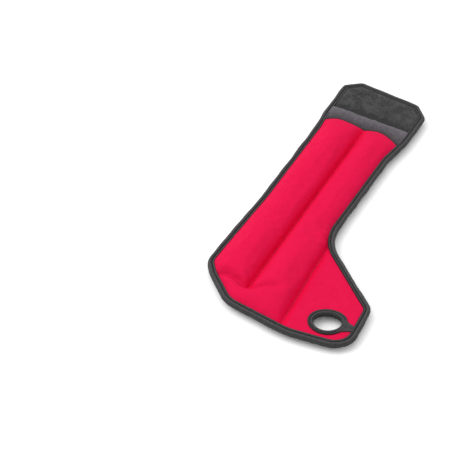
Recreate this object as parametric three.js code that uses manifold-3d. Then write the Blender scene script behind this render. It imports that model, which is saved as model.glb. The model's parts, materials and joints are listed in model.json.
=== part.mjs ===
// Thumb-loop wrist weight, right hand: a padded strap with two grit-filled channels, a flat thumb lobe
// at one end and a hook-and-loop closing tab at the other. It lies flat, lining side up.
// The strap runs along +Y, the thumb lobe reaches out along +X, and +Z is up. Millimetres.
// While it is built, z = 0 is the seam plane, where lining and shell are sewn together, and
// x = 0, y = 0 is the foot of the centre seam.

import * as THREE from 'three';
import { mergeVertices } from 'three/addons/utils/BufferGeometryUtils.js';
import Module from 'manifold-3d';

const wasm = await Module();
wasm.setup();

// ---- driving dimensions ----

// Outer edge in plan, anticlockwise from the foot of the centre seam. Every corner is rounded.
const OUTLINE = [
  { x: -3, y: 1, radius: 22 },
  { x: 62, y: -4.2, radius: 60 },
  { x: 119.9, y: 7.2, radius: 23 },
  { x: 116.8, y: 60.8, radius: 14 },
  { x: 45.3, y: 118.2, radius: 42 },
  { x: 45.4, y: 250, radius: 40 },
  { x: 50.5, y: 283, radius: 40 },
  { x: 50.6, y: 329.5, radius: 7 },
  { x: 35.5, y: 345.9, radius: 8 },
  { x: -32.5, y: 351, radius: 9 },
  { x: -49.1, y: 337.3, radius: 6 },
  { x: -47.7, y: 286, radius: 50 },
  { x: -44.8, y: 260, radius: 50 },
  { x: -41.9, y: 140, radius: 60 },
  { x: -44.1, y: 38, radius: 11 },
  { x: -33, y: 24.5, radius: 40 },
];

// Lines that the strap bends about as it wraps round a wrist, from thumb end to tab,
// with the angle in degrees at which the padding on either side of each line meets.
const BENDS = [
  { y: 52, limit: 70 },
  { y: 100, limit: 64 },
  { y: 148, limit: 56 },
  { y: 196, limit: 51 },
  { y: 243, limit: 57 },
  { y: 289, limit: 57 },
];

const GAP = 0.3; // between neighbouring pieces
const HALF_GAP = GAP / 2;

const LAYER = 2; // flat lining or shell, with its foam, on either side of the seam plane
const CROWN_UP = 8.5; // how far a full channel rises above the flat lining
const CROWN_DOWN = 6; // how far it hangs below the flat shell
const BANK_UP = 19; // width of a channel's rounded side, above and below
const BANK_DOWN = 13;
const WALL = 1.5; // fabric and foam round a grit bag
const SEAM_HALF_WIDTH = 1;

const TAPE_WIDTH = 6.5; // folded edge binding, as seen from above
const TAPE_HALF_HEIGHT = 3;
const TAPE_GRIP = 3; // solid outer part of the binding, outside the panels' edge
const TAPE_SLOT_HALF = 1.9;
const HEM_HALF = 1.6; // thinned panel edge inside the binding

const BANK_STEPS = 5;
// The thumb hole is an oval: its radii here are along its long axis, which is turned from the strap's X.
const THUMB = {
  x: 88.6, y: 26.2, opening: 12.8, panelHole: 15.3, outer: 17.8, halfHeight: 3.6, slotHalf: 2.3,
  squeeze: 0.75, turn: THREE.MathUtils.degToRad(30), sides: 24,
};
const THUMB_TAIL = { reach: 111.2, rise: 4, width: 6.5, low: 2.3, high: 3.3 };

const PATCH_THICKNESS = 0.6;
const TAB_FACE = LAYER + GAP;
const TAB_PATCH_INSET = 7.1; // cross tape and hook patch fill the tab inside the binding
const STRIP = { from: 290.3, to: 299.7, thickness: 0.9 };
const HOOK = { from: 300.3, to: 360, thickness: 1.5 };
const MARK = { y: 320, thickness: 0.4, bar: [24, 3], inner: [4, 15], outer: [3.5, 9], innerAt: 8, outerAt: 12 };

const REACH = 200; // longer than any half of the strap, for cutting tools
const ARC_STEP = THREE.MathUtils.degToRad(18);

// Channels in plan, anticlockwise, each a convex outline. The right one widens towards the lobe, so it
// is two outlines joined. A side marked open has no bank: it lies inside the other outline.
const CHANNEL_TOP = 284;
const seamX = (y) => 7.2 - 0.0161 * y; // the centre seam slants a little towards the thumb lobe
const besideSeam = (side, y) => [seamX(y) + side * SEAM_HALF_WIDTH, y];
const CHANNELS = {
  left: [
    [besideSeam(-1, 9.5), besideSeam(-1, CHANNEL_TOP), [-38, CHANNEL_TOP], [-37.4, 44], [-27, 30]],
  ],
  right: [
    [besideSeam(1, 8), [53, 8.6], [46.6, 109.5], [18, 140, 'open'], besideSeam(1, 140)],
    [[...besideSeam(1, 100), 'open'], [38.6, 100], [38.6, CHANNEL_TOP], besideSeam(1, CHANNEL_TOP)],
  ],
};
// The loop patch covers the shell between the left binding and the lobe seam.
const PATCH_AREA = [[-60, -8], [54.3, -8], [47.2, 115], [-60, 115]];

// ---- materials ----

const cloth = (color, roughness) => new THREE.MeshStandardMaterial({ color, roughness, metalness: 0 });
const MATERIALS = {
  lining: cloth(0xd9163f, 0.85),
  shell: cloth(0x2b2b2d, 0.85),
  tape: cloth(0x242426, 0.8),
  loop: cloth(0x1c1c1e, 0.95),
  hook: cloth(0x303032, 0.9),
  bag: cloth(0x8a8880, 0.9),
  print: cloth(0xe8e8e8, 0.6),
};

// ---- solids ----

function solid(geometry) {
  geometry.deleteAttribute('normal');
  geometry.deleteAttribute('uv');
  const merged = mergeVertices(geometry, 1e-5);
  return new wasm.Manifold(new wasm.Mesh({
    numProp: 3,
    vertProperties: new Float32Array(merged.attributes.position.array),
    triVerts: new Uint32Array(merged.index.array),
  }));
}

const join = (pieces) => pieces.reduce((all, piece) => all.add(piece));
const common = (pieces) => pieces.reduce((all, piece) => all.intersect(piece));
const vectors = (pairs) => pairs.map(([a, b]) => new THREE.Vector2(a, b));

// Extrudes an outline along the third axis of a frame given by its origin and its three axes.
function extrude(points, depth, axes, origin) {
  const geometry = new THREE.ExtrudeGeometry(new THREE.Shape(points), { depth, bevelEnabled: false });
  const frame = new THREE.Matrix4().makeBasis(...axes).setPosition(origin);
  return solid(geometry.applyMatrix4(frame));
}

const X = new THREE.Vector3(1, 0, 0);
const Y = new THREE.Vector3(0, 1, 0);
const Z = new THREE.Vector3(0, 0, 1);
const plate = (points, low, high) => extrude(points, high - low, [X, Y, Z], new THREE.Vector3(0, 0, low));
const acrossStrap = (points) => extrude(points, 2 * REACH, [Y, Z, X], new THREE.Vector3(-REACH, 0, 0));

// The points of a closed line with rounded corners, moved inwards by inset.
function rounded(corners, inset = 0) {
  const count = corners.length;
  const sides = corners.map((from, i) => {
    const to = corners[(i + 1) % count];
    const along = new THREE.Vector2(to.x - from.x, to.y - from.y).normalize();
    const inward = new THREE.Vector2(-along.y, along.x);
    return { along, inward, at: new THREE.Vector2(from.x, from.y).addScaledVector(inward, inset) };
  });
  return corners.flatMap((corner, i) => {
    const before = sides[(i + count - 1) % count];
    const after = sides[i];
    const turn = Math.atan2(before.along.cross(after.along), before.along.dot(after.along));
    const ahead = after.at.clone().sub(before.at).cross(after.along) / Math.sin(turn);
    const apex = before.at.clone().addScaledVector(before.along, ahead);
    const radius = Math.max(corner.radius - Math.sign(turn) * inset, 0.5);
    const start = apex.clone().addScaledVector(before.along, -radius * Math.tan(Math.abs(turn) / 2));
    const centre = start.clone().addScaledVector(before.inward, Math.sign(turn) * radius);
    const steps = Math.max(2, Math.ceil(Math.abs(turn) / ARC_STEP));
    return Array.from({ length: steps + 1 }, (_, n) => start.clone().rotateAround(centre, turn * n / steps));
  });
}

const edgeAt = (inset) => rounded(OUTLINE, inset);

// Cross-section of a channel's side: outward face at inset, rounding up and down to the full crown.
function bankSection({ inset, lipUp, lipDown }) {
  const curve = (bank, rise) => Array.from({ length: BANK_STEPS + 1 }, (_, n) => {
    const angle = Math.PI / 2 * n / BANK_STEPS;
    return [bank * (1 - Math.cos(angle)), rise * Math.sin(angle)];
  });
  const below = curve(BANK_DOWN, CROWN_DOWN).map(([d, h]) => [inset + d, -lipDown - h]);
  const above = curve(BANK_UP, CROWN_UP).map(([d, h]) => [inset + d, lipUp + h]).reverse();
  const far = 2 * REACH;
  return vectors([...below, [far, -lipDown - CROWN_DOWN], [far, lipUp + CROWN_UP], ...above]);
}

// A padded channel over a convex outline: the space inside all of its sides' banks.
function pad(corners, sizes) {
  const lipUp = LAYER - (sizes.shrinkUp ?? 0);
  const lipDown = LAYER - (sizes.shrinkDown ?? 0);
  return common(corners.map(([x, y, open], i) => {
    const [nextX, nextY] = corners[(i + 1) % corners.length];
    const along = new THREE.Vector3(nextX - x, nextY - y, 0).normalize();
    const inward = new THREE.Vector3(-along.y, along.x, 0);
    const inset = open ? -BANK_UP : sizes.inset ?? 0;
    const origin = new THREE.Vector3(x, y, 0).addScaledVector(along, -2 * REACH);
    return extrude(bankSection({ inset, lipUp, lipDown }), 5 * REACH, [inward, Z, along], origin);
  }));
}

const pads = (side, sizes = {}) => join(CHANNELS[side].map((corners) => pad(corners, sizes)));

// ---- bodies along the strap ----

// The space between two bend lines. Above the seam plane it leans back, so that at their limit the
// faces on both sides of a bend line stand parallel, a gap apart.
function between(segment, low, high) {
  const lean = (bend, z) => HALF_GAP + Math.max(z, 0) * Math.tan(THREE.MathUtils.degToRad(bend.limit / 2));
  const near = BENDS[segment - 2];
  const far = BENDS[segment - 1];
  const heights = low < 0 && high > 0 ? [low, 0, high] : [low, high];
  const nearSide = heights.map((z) => [near ? near.y + lean(near, z) : -REACH, z]).reverse();
  const farSide = heights.map((z) => [far ? far.y - lean(far, z) : 2 * REACH, z]);
  return acrossStrap(vectors([...farSide, ...nearSide]));
}

const SEGMENTS = [1, 2, 3, 4, 5, 6];
const TAB = 7;
const TALL = 15;
const bodies = Object.fromEntries([...SEGMENTS, TAB].map((n) => [n, new THREE.Group()]));

// Cuts along shared faces can leave specks of dust, so a piece is the largest of its bodies.
const largest = (piece) => piece.decompose().reduce((a, b) => (a.volume() > b.volume() ? a : b));

function addPiece(segment, name, material, piece) {
  const { vertProperties, triVerts } = largest(piece).getMesh();
  const geometry = new THREE.BufferGeometry();
  geometry.setAttribute('position', new THREE.BufferAttribute(vertProperties, 3));
  geometry.setIndex(new THREE.BufferAttribute(triVerts, 1));
  geometry.computeVertexNormals();
  const mesh = new THREE.Mesh(geometry, MATERIALS[material]);
  mesh.name = name;
  bodies[segment].add(mesh);
}

// ---- quilted body: lining, shell and the pockets for the grit bags ----

// A round shape about the Y axis, made oval and set upright at the thumb hole.
const atThumb = (geometry, z = 0) => solid(
  geometry.rotateX(Math.PI / 2).scale(1, THUMB.squeeze, 1).rotateZ(THUMB.turn).translate(THUMB.x, THUMB.y, z),
);
const thumbHole = atThumb(new THREE.CylinderGeometry(THUMB.panelHole, THUMB.panelHole, 2 * TALL, THUMB.sides));

const insideTape = plate(edgeAt(TAPE_WIDTH + GAP), -TALL, TALL);
const sheet = plate(edgeAt(TAPE_WIDTH + GAP), -LAYER, LAYER);
const hem = plate(edgeAt(TAPE_GRIP + GAP), -HEM_HALF, HEM_HALF);
const padded = join([sheet, pads('left'), pads('right')]).intersect(insideTape);
const pocketSizes = { inset: WALL, shrinkUp: WALL, shrinkDown: WALL };
const pockets = { left: pads('left', pocketSizes), right: pads('right', pocketSizes) };
const quilt = padded.add(hem)
  .subtract(pockets.left).subtract(pockets.right)
  .subtract(thumbHole);

// What stays of the shell under the loop patch, raised off the shell's outer face by depth.
const underPatch = (depth) => join([
  plate(edgeAt(TAPE_GRIP + GAP), -LAYER + depth, TALL),
  pads('left', { inset: depth, shrinkDown: depth }),
  pads('right', { inset: depth, shrinkDown: depth }),
]);
const patchArea = plate(vectors(PATCH_AREA), -TALL, TALL).intersect(insideTape);
const patchRecess = patchArea.subtract(underPatch(PATCH_THICKNESS + GAP));
const patch = padded
  .intersect(plate(vectors(PATCH_AREA.map(([x, y]) => [x - GAP, y])), -TALL, 0))
  .intersect(patchArea)
  .subtract(underPatch(PATCH_THICKNESS));
const PATCHED = [1, 2];

const bagSizes = { inset: WALL + GAP, shrinkUp: WALL + GAP, shrinkDown: WALL + GAP };
const bags = { left: pads('left', bagSizes), right: pads('right', bagSizes) };

for (const n of SEGMENTS) {
  const shell = quilt.intersect(between(n, -TALL, -HALF_GAP));
  addPiece(n, `lining_${n}`, 'lining', quilt.intersect(between(n, HALF_GAP, TALL)));
  addPiece(n, `shell_${n}`, 'shell', PATCHED.includes(n) ? shell.subtract(patchRecess) : shell);
  addPiece(n, `left_grit_bag_${n}`, 'bag', bags.left.intersect(between(n, -TALL, TALL)));
  addPiece(n, `right_grit_bag_${n}`, 'bag', bags.right.intersect(between(n, -TALL, TALL)));
}
for (const n of PATCHED) {
  addPiece(n, `loop_patch_${n}`, 'loop', patch.intersect(between(n, -TALL, TALL)));
}

// ---- edge binding: a folded tape that grips the panels' edge all the way round ----

const binding = plate(edgeAt(0), -TAPE_HALF_HEIGHT, TAPE_HALF_HEIGHT)
  .subtract(plate(edgeAt(TAPE_WIDTH), -TALL, TALL))
  .subtract(plate(edgeAt(TAPE_GRIP), -TAPE_SLOT_HALF, TAPE_SLOT_HALF));
const sideOf = (sign) => plate(
  sign > 0
    ? vectors([[HALF_GAP, -REACH], [REACH, -REACH], [REACH, 2 * REACH], [HALF_GAP, 2 * REACH]])
    : vectors([[-REACH, -REACH], [-HALF_GAP, -REACH], [-HALF_GAP, 2 * REACH], [-REACH, 2 * REACH]]),
  -TALL, TALL,
);
for (const n of SEGMENTS) {
  const tape = binding.intersect(between(n, -TALL, TALL));
  addPiece(n, `left_binding_${n}`, 'tape', tape.intersect(sideOf(-1)));
  addPiece(n, `right_binding_${n}`, 'tape', tape.intersect(sideOf(1)));
}

// ---- thumb hole: a ring of the same tape, with its ends run out to the edge binding ----

function thumbRing() {
  const { opening, panelHole, outer, halfHeight, slotHalf } = THUMB;
  const grip = panelHole - GAP;
  const round = 1;
  const profile = vectors([
    [opening + round, -halfHeight], [outer, -halfHeight], [outer, -slotHalf], [grip, -slotHalf],
    [grip, slotHalf], [outer, slotHalf], [outer, halfHeight], [opening + round, halfHeight],
    [opening, halfHeight - round], [opening, round - halfHeight], [opening + round, -halfHeight],
  ]);
  return atThumb(new THREE.LatheGeometry(profile, THUMB.sides));
}

const tailHalf = THUMB_TAIL.width / 2;
const tailFrom = THUMB.x + THUMB.opening + 1;
const tailY = THUMB.y + THUMB_TAIL.rise;
const thumbTail = plate(vectors([
  [tailFrom, tailY - tailHalf], [THUMB_TAIL.reach, tailY - tailHalf],
  [THUMB_TAIL.reach, tailY + tailHalf], [tailFrom, tailY + tailHalf],
]), THUMB_TAIL.low, THUMB_TAIL.high);
addPiece(1, 'thumb_hole_binding', 'tape', thumbRing().add(thumbTail));

// ---- closing tab ----

const block = (centreX, centreY, [width, length], low, high) => plate(vectors([
  [centreX - width / 2, centreY - length / 2], [centreX + width / 2, centreY - length / 2],
  [centreX + width / 2, centreY + length / 2], [centreX - width / 2, centreY + length / 2],
]), low, high);

addPiece(TAB, 'tab_inner_panel', 'shell', quilt.intersect(between(TAB, HALF_GAP, TALL)));
addPiece(TAB, 'tab_outer_panel', 'shell', quilt.intersect(between(TAB, -TALL, -HALF_GAP)));
addPiece(TAB, 'tab_binding', 'tape', binding.intersect(between(TAB, -TALL, TALL)));
const tabFace = (from, to, low, high) => plate(edgeAt(TAB_PATCH_INSET), low, high)
  .intersect(block(0, (from + to) / 2, [REACH, to - from], low, high));
addPiece(TAB, 'tab_cross_tape', 'tape', tabFace(STRIP.from, STRIP.to, TAB_FACE, TAB_FACE + STRIP.thickness));
addPiece(TAB, 'hook_patch', 'hook', tabFace(HOOK.from, HOOK.to, TAB_FACE, TAB_FACE + HOOK.thickness));

// A plain dumbbell sign printed on the tab's outer face.
const print = (x, size) => block(x, MARK.y, size, -TAB_FACE - MARK.thickness, -TAB_FACE);
addPiece(TAB, 'printed_mark', 'print', join([
  print(0, MARK.bar),
  ...[-1, 1].flatMap((sign) => [
    print(sign * MARK.innerAt, MARK.inner),
    print(sign * MARK.outerAt, MARK.outer),
  ]),
]));

// ---- the whole strap, moved so that its origin is the centre of its footprint ----

const wristWeight = new THREE.Group();
wristWeight.add(...Object.values(bodies));
const bounds = new THREE.Box3().setFromObject(wristWeight);
const middle = bounds.getCenter(new THREE.Vector3());
wristWeight.position.set(-middle.x, -middle.y, -bounds.min.z);

export default wristWeight;
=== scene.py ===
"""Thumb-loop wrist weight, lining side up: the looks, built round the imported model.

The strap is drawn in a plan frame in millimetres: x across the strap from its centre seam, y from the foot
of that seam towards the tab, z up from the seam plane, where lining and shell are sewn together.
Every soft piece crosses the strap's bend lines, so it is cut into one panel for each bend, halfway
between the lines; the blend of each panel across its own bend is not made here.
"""

import json
import math

import bpy
import numpy as np
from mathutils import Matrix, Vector, noise
from mathutils.bvhtree import BVHTree
from mathutils.geometry import delaunay_2d_cdt

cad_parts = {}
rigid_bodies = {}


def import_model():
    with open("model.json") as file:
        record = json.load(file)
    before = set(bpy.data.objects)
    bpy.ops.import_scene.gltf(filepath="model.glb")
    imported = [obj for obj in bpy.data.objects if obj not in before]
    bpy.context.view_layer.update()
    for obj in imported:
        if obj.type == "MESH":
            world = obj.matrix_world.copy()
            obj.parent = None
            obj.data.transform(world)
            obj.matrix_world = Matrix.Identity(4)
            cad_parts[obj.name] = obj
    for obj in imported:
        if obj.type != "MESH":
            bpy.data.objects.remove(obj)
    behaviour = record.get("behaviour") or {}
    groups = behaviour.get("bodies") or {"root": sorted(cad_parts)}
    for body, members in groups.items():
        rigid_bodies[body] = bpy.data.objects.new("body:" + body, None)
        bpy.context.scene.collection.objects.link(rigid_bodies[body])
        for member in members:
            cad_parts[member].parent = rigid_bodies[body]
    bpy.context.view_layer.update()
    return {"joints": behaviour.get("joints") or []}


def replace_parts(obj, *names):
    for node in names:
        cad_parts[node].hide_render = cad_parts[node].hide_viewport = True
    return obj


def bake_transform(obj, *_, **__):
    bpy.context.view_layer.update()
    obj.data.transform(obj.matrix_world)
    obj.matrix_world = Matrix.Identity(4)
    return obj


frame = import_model()

# ---- the plan frame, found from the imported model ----

MM = 0.001
TAB_BEND = 289.0
tab_joint = next(joint for joint in frame["joints"] if joint["name"] == "tab_bend")
PLAN_ORIGIN = np.array(tab_joint["pos_m"]) - [0, TAB_BEND * MM, 0]
FLOOR = -PLAN_ORIGIN[2] / MM
LOBE_DROOP = 1.0


def droop(x, y):
    """How far the unfilled thumb lobe sags below the seam plane, from the lobe seam to its far corner."""
    from_seam = np.clip((x - 50) / 55, 0, 1) * np.clip((112 - y) / 30, 0, 1)
    return LOBE_DROOP * from_seam**2 * (3 - 2 * from_seam)


def to_row(points):
    """Plan points in millimetres to the row frame in metres."""
    points = np.array(points, float)
    points[..., 2] -= droop(points[..., 0], points[..., 1])
    return PLAN_ORIGIN + points * MM


def plan_y(joint):
    return (joint["pos_m"][1] - PLAN_ORIGIN[1]) / MM


# Bend lines from the thumb end to the tab, each with the bodies on its thumb side and on its tab side.
BENDS = []
for joint in sorted(frame["joints"], key=plan_y):
    towards_tab = joint["axis"][0] > 0
    sides = (joint["parent"], joint["child"]) if towards_tab else (joint["child"], joint["parent"])
    BENDS.append({"y": plan_y(joint), "bodies": sides})
BEND_REACH = 16.0
CUTS = [(a["y"] + b["y"]) / 2 for a, b in zip(BENDS, BENDS[1:])]
TAB_PANEL = len(BENDS) - 1

# ---- sizes ----

# Outer edge, anticlockwise from the foot of the centre seam: x, y and corner radius.
OUTLINE = [
    (-3, 1, 30), (62, -4.2, 60), (119.9, 7.2, 23), (116.8, 60.8, 14), (45.3, 118.2, 42), (45.4, 250, 40),
    (50.5, 283, 40), (50.8, 330.3, 7), (36.4, 345.9, 8), (-32.5, 351, 9), (-49.1, 337.3, 6),
    (-47.7, 286, 50), (-44.8, 260, 50), (-41.9, 140, 60), (-44.1, 38, 17), (-33, 24.5, 40),
]
PANEL_INSET = 3.2  # the panels' raw edge, inside the folded tape
PAD_INSET = 6.3  # where the padding starts, under the tape's inner rim
HEM_HALF = 1.1  # half thickness of the panels inside the tape
# From the outer edge to the folded tape's sewn groove and to its inner rim, on the strap and on the ring.
TAPE_GROOVE, TAPE_RIM = 4.3, 6.6
RING_GROOVE, RING_RIM = 3.3, 5.1

CENTRE_SEAM = [(2.6, 284), (3.7, 220), (5, 140), (6, 80), (6.8, 40), (7.2, 27.5)]
LOBE_SEAM = [(43.5, 121), (46.8, 108), (48.3, 80), (50.3, 50), (52.3, 20), (53.3, 3)]
# Crease across the channels' lower end.
FOLD_LINE = [
    (-29, 26), (-24, 28.6), (-16, 30.2), (-5, 28.4), (1, 26.4), (7.2, 25.8), (15, 28), (23, 32), (31, 35),
]
# Upper end of the channels, sewn down along the foot of the cross tape.
CHANNEL_END = [
    (-46, 266), (-39, 276.3), (-30, 282.6), (-20, 283.2), (-8, 282.2), (2, 281.6), (10, 283), (20, 284.6),
    (30, 281.8), (42, 274.8), (49, 266),
]
LINING_END = 292.0
# Upper edge of the loop patch, on the outer side.
PATCH_TOP = [
    (-46, 104), (-34, 107), (-20, 107.5), (-6, 103.5), (5.5, 101.5), (14, 104), (28, 106), (46.9, 104),
]
# Short creases where the right channel is squeezed past the inner corner, each from its deep end.
PUCKERS = [[(47, 114), (24, 105)], [(47, 106), (33, 96)], [(44, 128), (30, 122)]]
# Height of each ridge or crease in the lining, its reach to the side, and where along its line it fades out.
FOLD_CREASE = (-1.7, 1.5, (1.2, 68))
FOLD_ROLL = (0.9, 4.2, (1.3, 60))
PUCKER = (-0.7, 1.9, (1, 26))
SEAM_GROOVE = (-0.8, 1.3)

THUMB = Vector((88.6, 27.0, 0))
THUMB_HALF = (12.8, 9.5)  # the opening's half length and half width
THUMB_TURN = math.radians(30)
THUMB_PANEL_EXTRA = 2.7  # from the opening's rim to the hole in the panels

STRIP_TOP = 298.9
HOOK_LOW = 300.3
# the hook materials' painted shade covers this foot too
HOOK_TURN = 8.0  # length of the hook patch's foot, which turns down towards the cross tape
PATCH_INSET = 6.9  # from the outer edge to the hook patch, which fills the tab inside the binding
MARK_Y = 320.0

ON_LINE = 0.1  # how close a point lies to count as being on a line
SPACING = 2.7  # of the sheets' first mesh
CROWN_UP = 8.4  # height of a full channel over the flat lining
CROWN_DOWN = 7.0  # and its depth under the flat shell
CROWN_ROUND = 0.62  # from 0.5, a round pillow with upright sides, to 1, a soap film
LAYER_UP = 1.7  # height of the flat lining over the seam plane
LAYER_DOWN = 1.7  # and depth of the flat shell under it
FOLD_DEPTH = 6.0  # of the crease across the channels' lower end
ROLL_BELOW = 7.5  # from the crease down to the roll of filling below it
SEAM_SINK = 1.6  # how far the centre seam draws both sheets down; the lobe seam draws them 0.6 of it
# the painted shade in the seam valleys fades out over about this reach beside the sewn seams
SEAM_SHADE = 4.5  # reach of the deeper colour beside the sewn seams

PRESSURE = 3.0
FABRIC_EASE = 0.006  # how much the fabric may grow in the simulation
CLOTH_FRAMES = 20
CLOTH_CAP = 2.0  # the furthest that the simulation may move a point


# ---- plane geometry ----


def rounded(corners, inset=0.0, step=2.0):
    """Points of a closed line through (x, y, radius) corners, moved inwards by inset, about step apart."""
    count = len(corners)
    at = np.array([c[:2] for c in corners], float)
    along = np.roll(at, -1, axis=0) - at
    along /= np.linalg.norm(along, axis=1)[:, None]
    inward = np.stack([-along[:, 1], along[:, 0]], 1)
    base = at + inward * inset
    arcs = []
    for i in range(count):
        u, v = along[i - 1], along[i]
        turn = math.atan2(u[0] * v[1] - u[1] * v[0], u @ v)
        gap = base[i] - base[i - 1]
        ahead = (gap[0] * v[1] - gap[1] * v[0]) / math.sin(turn)
        apex = base[i - 1] + u * ahead
        radius = max(corners[i][2] - math.copysign(inset, turn), 0.6)
        start = apex - u * radius * math.tan(abs(turn) / 2)
        centre = start + inward[i - 1] * math.copysign(radius, turn)
        steps = max(2, round(radius * abs(turn) / step))
        angles = turn * np.arange(steps + 1) / steps
        arm = start - centre
        arcs.append(np.stack([
            centre[0] + arm[0] * np.cos(angles) - arm[1] * np.sin(angles),
            centre[1] + arm[0] * np.sin(angles) + arm[1] * np.cos(angles),
        ], 1))
    points = []
    for i, arc in enumerate(arcs):
        points.extend(arc)
        nxt = arcs[(i + 1) % count][0]
        gap = np.linalg.norm(nxt - arc[-1])
        extra = max(1, round(gap / step))
        points.extend(arc[-1] + (nxt - arc[-1]) * n / extra for n in range(1, extra))
    return np.array(points)


def thumb_oval(extra, angles):
    """Points round the thumb hole, extra outside the rim of its opening."""
    along, across = (half + extra for half in THUMB_HALF)
    x, y = along * np.cos(angles), across * np.sin(angles)
    turned = np.stack([
        x * math.cos(THUMB_TURN) - y * math.sin(THUMB_TURN),
        x * math.sin(THUMB_TURN) + y * math.cos(THUMB_TURN),
    ], 1)
    return turned + [THUMB.x, THUMB.y]


def thumb_line(extra, step):
    count = round(2 * math.pi * (THUMB_HALF[0] + extra) / step)
    return thumb_oval(extra, 2 * math.pi * np.arange(count) / count)


def looped(line):
    """A closed line with its first point again at the end."""
    return np.vstack([line, line[:1]])


def travelled(line):
    """Distance along a line to each of its points."""
    return np.concatenate([[0], np.cumsum(np.linalg.norm(np.diff(line, axis=0), axis=1))])


def resampled(line, step, closed=False):
    """The line again, with points evenly about step apart."""
    line = np.asarray(line, float)
    if closed:
        line = looped(line)
    lengths = travelled(line)
    count = max(1, round(lengths[-1] / step))
    at = np.linspace(0, lengths[-1], count + 1)
    points = np.stack([np.interp(at, lengths, line[:, k]) for k in range(line.shape[1])], 1)
    return points[:-1] if closed else points


def smoothed(line, step):
    """A smooth curve through the points of an open line (Catmull-Rom), resampled to step."""
    p = np.asarray(line, float)
    p = np.vstack([2 * p[0] - p[1], p, 2 * p[-1] - p[-2]])
    t = np.linspace(0, 1, 12, endpoint=False)[:, None]
    pieces = []
    for a, b, c, d in zip(p, p[1:], p[2:], p[3:]):
        square, cube = 2 * a - 5 * b + 4 * c - d, 3 * b - a - 3 * c + d
        pieces.append(0.5 * (2 * b + (c - a) * t + square * t**2 + cube * t**3))
    return resampled(np.vstack([*pieces, p[-2][None]]), step)


def inside(points, loop):
    """Which points lie inside a closed line."""
    x, y = points[:, 0][:, None], points[:, 1][:, None]
    ax, ay = loop[:, 0], loop[:, 1]
    bx, by = np.roll(ax, -1), np.roll(ay, -1)
    crossing = ((ay > y) != (by > y)) & (x < (bx - ax) * (y - ay) / (by - ay + 1e-12) + ax)
    return crossing.sum(1) % 2 == 1


def near_line(points, line, closed=False):
    """Distance of each point from a line, and how far along the line its nearest place is."""
    line = np.asarray(line, float)
    a = line if closed else line[:-1]
    b = np.roll(line, -1, axis=0) if closed else line[1:]
    d = b - a
    size = (d**2).sum(1)
    start = np.concatenate([[0], np.cumsum(np.sqrt(size))[:-1]])
    best = np.full(len(points), 1e9)
    along = np.zeros(len(points))
    for i in range(len(a)):
        t = np.clip(((points - a[i]) @ d[i]) / size[i], 0, 1)
        away = np.linalg.norm(points - a[i] - t[:, None] * d[i], axis=1)
        closer = away < best
        best[closer] = away[closer]
        along[closer] = start[i] + t[closer] * math.sqrt(size[i])
    return best, along


def beside(distance, reach):
    """1 at no distance, fading out smoothly over about two reaches."""
    return np.exp(-((distance / reach) ** 2))


def ending(along, start, length):
    """A share that falls along a line, clipped between 0 and 1."""
    return np.clip(start - along / length, 0, 1)


def noise_at(points, scale, shift=0.0):
    """Smooth seeded noise from -1 to 1, one value for each point. Scale is the size of its lumps."""
    offset = Vector((shift, 7.3 + shift, 2.1))
    flat = np.zeros((len(points), 3))
    flat[:, : points.shape[1]] = points
    return np.array([noise.noise(Vector(p) / scale + offset) for p in flat])


# ---- sheets ----


def triangulated(loops, lines, spacing):
    """A triangle mesh inside the first loop and outside the others, with edges along every line."""
    points, edges = [], []
    every_line = [(loop, True) for loop in loops] + [(line, False) for line in lines]
    for line, closed in every_line:
        first = len(points)
        points.extend(line)
        edges.extend((first + i, first + i + 1) for i in range(len(line) - 1))
        if closed:
            edges.append((first + len(line) - 1, first))
    low, high = loops[0].min(0), loops[0].max(0)
    rows = []
    for n, y in enumerate(np.arange(low[1], high[1], spacing * math.sqrt(3) / 2)):
        xs = np.arange(low[0] + (n % 2) * spacing / 2, high[0], spacing)
        rows.append(np.column_stack([xs, np.full(len(xs), y)]))
    grid = np.vstack(rows)
    grid = grid[inside(grid, loops[0])]
    for line, closed in every_line:
        grid = grid[near_line(grid, line, closed)[0] > spacing * 0.6]
    points.extend(grid)
    made = delaunay_2d_cdt([Vector(p) for p in points], edges, [], 0, 1e-4)
    flat = np.array([tuple(v) for v in made[0]])
    faces = np.array([f for f in made[2] if len(f) == 3])
    middle = flat[faces].mean(1)
    keep = inside(middle, loops[0])
    for loop in loops[1:]:
        keep &= ~inside(middle, loop)
    faces = faces[keep]
    used = np.unique(faces)
    renumber = np.full(len(flat), -1)
    renumber[used] = np.arange(len(used))
    flat, faces = flat[used], renumber[faces]
    a, b, c = (flat[faces[:, k]] for k in range(3))
    clockwise = np.cross(b - a, c - a) < 0
    faces[clockwise] = faces[clockwise][:, ::-1]
    return flat, faces


def soap_film(flat, faces, held):
    """Heights of a film under even pressure, held down at some points."""
    count = len(flat)
    weights = {}
    for k in range(3):
        i, j, o = faces[:, k], faces[:, (k + 1) % 3], faces[:, (k + 2) % 3]
        u, v = flat[i] - flat[o], flat[j] - flat[o]
        cot = (u * v).sum(1) / np.abs(np.cross(u, v))
        for a, b, w in zip(i, j, cot):
            key = (min(a, b), max(a, b))
            weights[key] = weights.get(key, 0.0) + w / 2
    i, j = np.array(list(weights)).T
    w = np.maximum(np.array(list(weights.values())), 0.02)
    area = np.zeros(count)
    a, b, c = (flat[faces[:, k]] for k in range(3))
    corner = np.abs(np.cross(b - a, c - a)) / 6
    for k in range(3):
        area += np.bincount(faces[:, k], corner, count)
    diagonal = np.bincount(i, w, count) + np.bincount(j, w, count)
    free = ~held

    def apply(x):
        x = np.where(free, x, 0)
        y = diagonal * x - np.bincount(i, w * x[j], count) - np.bincount(j, w * x[i], count)
        return np.where(free, y, 0)

    x = np.zeros(count)
    residual = np.where(free, area, 0)
    step = residual / diagonal
    score = residual @ step
    for _ in range(900):
        moved = apply(step)
        pace = score / (step @ moved)
        x += pace * step
        residual -= pace * moved
        if np.abs(residual).max() < 1e-7:
            break
        relaxed = residual / diagonal
        new_score = residual @ relaxed
        step = relaxed + step * new_score / score
        score = new_score
    return x


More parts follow.
